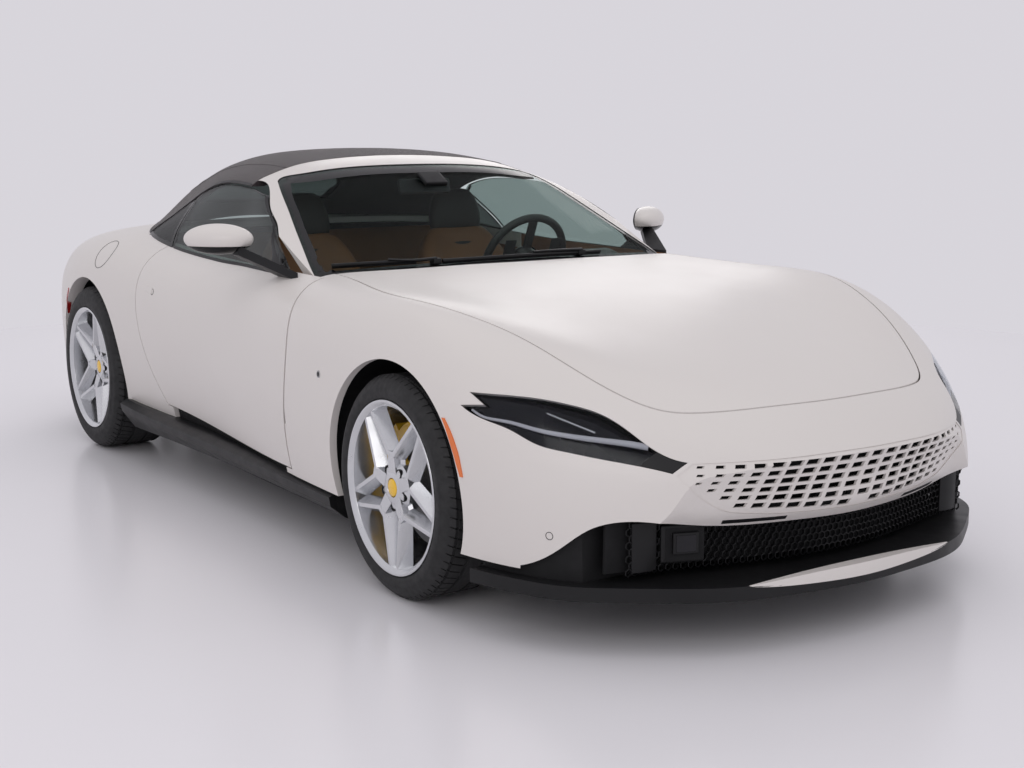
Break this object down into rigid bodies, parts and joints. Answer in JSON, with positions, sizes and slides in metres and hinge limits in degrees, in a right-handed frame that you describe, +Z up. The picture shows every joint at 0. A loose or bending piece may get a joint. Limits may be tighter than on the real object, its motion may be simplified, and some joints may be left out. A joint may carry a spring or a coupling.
{
  "type": "roadster convertible car",
  "caption": "Front-engined two-door roadster with a closed fabric roof, opening doors, bonnet and boot lid, steered front wheels and four spinning wheels.",
  "frame": {"origin": "on the ground under the middle of the car's outline, between the wheels", "axes": "+X forward, +Y to the car's left, +Z up"},
  "size_m": [4.6548, 2.1428, 1.3071],
  "materials": {
    "body_paint": "satin warm white paint",
    "underbody_black": "matte black",
    "trim_black": "grained black plastic",
    "trim_satin": "satin black",
    "lamp_glass": "clear lens",
    "lamp_red": "red lens",
    "glass_clear": "lightly tinted glass",
    "roof_fabric": "dark woven roof fabric",
    "radiator_grey": "dark fins",
    "bright_steel": "brushed",
    "dash_leather": "dark leather",
    "wheel_leather": "black leather",
    "seat_leather": "tan leather",
    "cast_alloy": "cast",
    "caliper_yellow": "gloss yellow",
    "tyre_rubber": "tyre black",
    "wheel_alloy": "silver paint",
    "brake_disc": "ceramic grey"
  },
  "bodies": {
    "body": {"inner_body": "underbody_black", "scuttle": "trim_black", "front_fenders": "body_paint", "front_bumper": "body_paint", "rear_bumper": "body_paint", "tonneau_cover": "body_paint", "rear_quarters": "body_paint", "headlamps": "lamp_glass", "tail_lamps": "lamp_red", "windscreen_frame": "body_paint", "windscreen": "glass_clear", "soft_top": "roof_fabric", "rear_window": "glass_clear", "quarter_glass": "glass_clear", "grille": "body_paint", "intake_mesh": "trim_black", "radiators": "radiator_grey", "splitter": "trim_satin", "splitter_strip": "body_paint", "sills": "trim_satin", "diffuser": "trim_satin", "exhaust_tips": "bright_steel", "dashboard": "dash_leather", "front_seats": "seat_leather", "rear_seats": "seat_leather", "engine_block": "cast_alloy", "front_suspension": "cast_alloy", "rear_suspension": "cast_alloy", "rear_calipers": "caliper_yellow"},
    "bonnet": {"bonnet": "body_paint"},
    "boot_lid": {"boot_lid": "body_paint"},
    "steering_wheel": {"steering_wheel": "wheel_leather"},
    "door_left": {"door_left": "body_paint", "door_glass_left": "glass_clear", "mirror_cap_left": "body_paint", "mirror_arm_left": "trim_black"},
    "knuckle_left": {"knuckle_left": "cast_alloy", "front_caliper_left": "caliper_yellow"},
    "front_wheel_left": {"front_tyre_left": "tyre_rubber", "front_rim_left": "wheel_alloy", "front_disc_left": "brake_disc"},
    "rear_wheel_left": {"rear_tyre_left": "tyre_rubber", "rear_rim_left": "wheel_alloy", "rear_disc_left": "brake_disc"},
    "door_right": {"door_right": "body_paint", "door_glass_right": "glass_clear", "mirror_cap_right": "body_paint", "mirror_arm_right": "trim_black"},
    "knuckle_right": {"knuckle_right": "cast_alloy", "front_caliper_right": "caliper_yellow"},
    "front_wheel_right": {"front_tyre_right": "tyre_rubber", "front_rim_right": "wheel_alloy", "front_disc_right": "brake_disc"},
    "rear_wheel_right": {"rear_tyre_right": "tyre_rubber", "rear_rim_right": "wheel_alloy", "rear_disc_right": "brake_disc"}
  },
  "joints": [
    {"name": "steer_left", "type": "hinge", "parent": "body", "child": "knuckle_left", "pos_m": [1.298, 0.736, 0.33975], "axis": [0, 0, 1], "range_deg": [-32, 32]},
    {"name": "steer_right", "type": "hinge", "parent": "body", "child": "knuckle_right", "pos_m": [1.298, -0.736, 0.33975], "axis": [0, 0, 1], "range_deg": [-32, 32]},
    {"name": "steering_turn", "type": "hinge", "parent": "body", "child": "steering_wheel", "pos_m": [0.07, 0.365, 0.872], "axis": [-0.9135, 0, 0.4067], "range_deg": [-448, 448]},
    {"name": "front_left_spin", "type": "hinge", "parent": "knuckle_left", "child": "front_wheel_left", "pos_m": [1.298, 0.826, 0.33975], "axis": [0, 1, 0], "continuous": true},
    {"name": "front_right_spin", "type": "hinge", "parent": "knuckle_right", "child": "front_wheel_right", "pos_m": [1.298, -0.826, 0.33975], "axis": [0, 1, 0], "continuous": true},
    {"name": "rear_left_spin", "type": "hinge", "parent": "body", "child": "rear_wheel_left", "pos_m": [-1.372, 0.8395, 0.35375], "axis": [0, 1, 0], "continuous": true},
    {"name": "rear_right_spin", "type": "hinge", "parent": "body", "child": "rear_wheel_right", "pos_m": [-1.372, -0.8395, 0.35375], "axis": [0, 1, 0], "continuous": true},
    {"name": "door_left_swing", "type": "hinge", "parent": "body", "child": "door_left", "pos_m": [0.554, 0.93, 0.545], "axis": [0, 0, -1], "range_deg": [0, 62]},
    {"name": "door_right_swing", "type": "hinge", "parent": "body", "child": "door_right", "pos_m": [0.554, -0.93, 0.545], "axis": [0, 0, 1], "range_deg": [0, 62]},
    {"name": "bonnet_lift", "type": "hinge", "parent": "body", "child": "bonnet", "pos_m": [0.6, 0, 0.89], "axis": [0, -1, 0], "range_deg": [0, 45]},
    {"name": "boot_lift", "type": "hinge", "parent": "body", "child": "boot_lid", "pos_m": [-1.885, 0, 0.925], "axis": [0, 1, 0], "range_deg": [0, 70]}
  ],
  "couplings": [
    {"joint": "steer_right", "follows": "steer_left", "ratio": 1},
    {"joint": "steering_turn", "follows": "steer_left", "ratio": 13}
  ]
}
